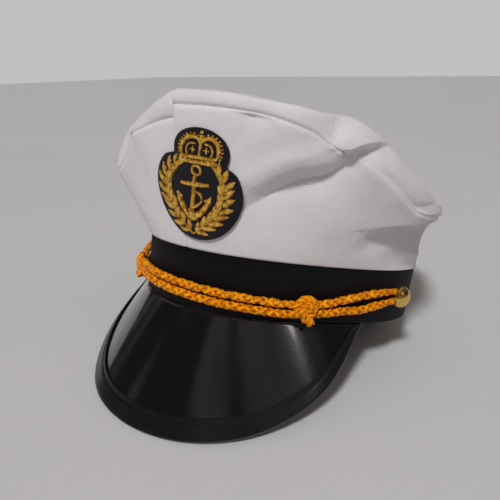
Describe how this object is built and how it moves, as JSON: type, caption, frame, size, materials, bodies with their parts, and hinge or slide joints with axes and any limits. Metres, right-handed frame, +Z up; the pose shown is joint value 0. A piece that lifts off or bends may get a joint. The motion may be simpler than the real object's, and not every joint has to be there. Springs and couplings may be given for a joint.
{
  "type": "sailor cap",
  "caption": "Sailor cap with a soft white cloth crown, a black band, a glossy black peak, a gold cord with knots and brass buttons, and an embroidered anchor badge.",
  "frame": {"origin": "bottom centre of the bounding box, on the table that the cap rests on", "axes": "+Z up from the table, -Y towards the peak at the front, +X towards the wearer's left"},
  "size_m": [0.211, 0.2586, 0.164],
  "materials": {
    "white_cotton": "matt diagonal twill",
    "black_ribbon": "matt fine ribbed weave",
    "patent_black": "high gloss patent",
    "binding_black": "satin gloss, stitched",
    "gold_cord": "satin braid",
    "brass": "polished",
    "black_felt": "matt felt",
    "gold_thread": "raised metallic embroidery"
  },
  "bodies": {
    "root": {"side_panel_left": "white_cotton", "side_panel_right": "white_cotton", "tip_left": "white_cotton", "tip_right": "white_cotton", "hat_band": "black_ribbon", "visor": "patent_black", "visor_binding": "binding_black", "cord_upper": "gold_cord", "cord_lower": "gold_cord", "knot_left": "gold_cord", "knot_right": "gold_cord", "side_button_left": "brass", "side_button_right": "brass", "badge_patch": "black_felt", "badge_anchor": "gold_thread", "badge_wreath": "gold_thread", "badge_crown": "gold_thread"}
  },
  "joints": []
}
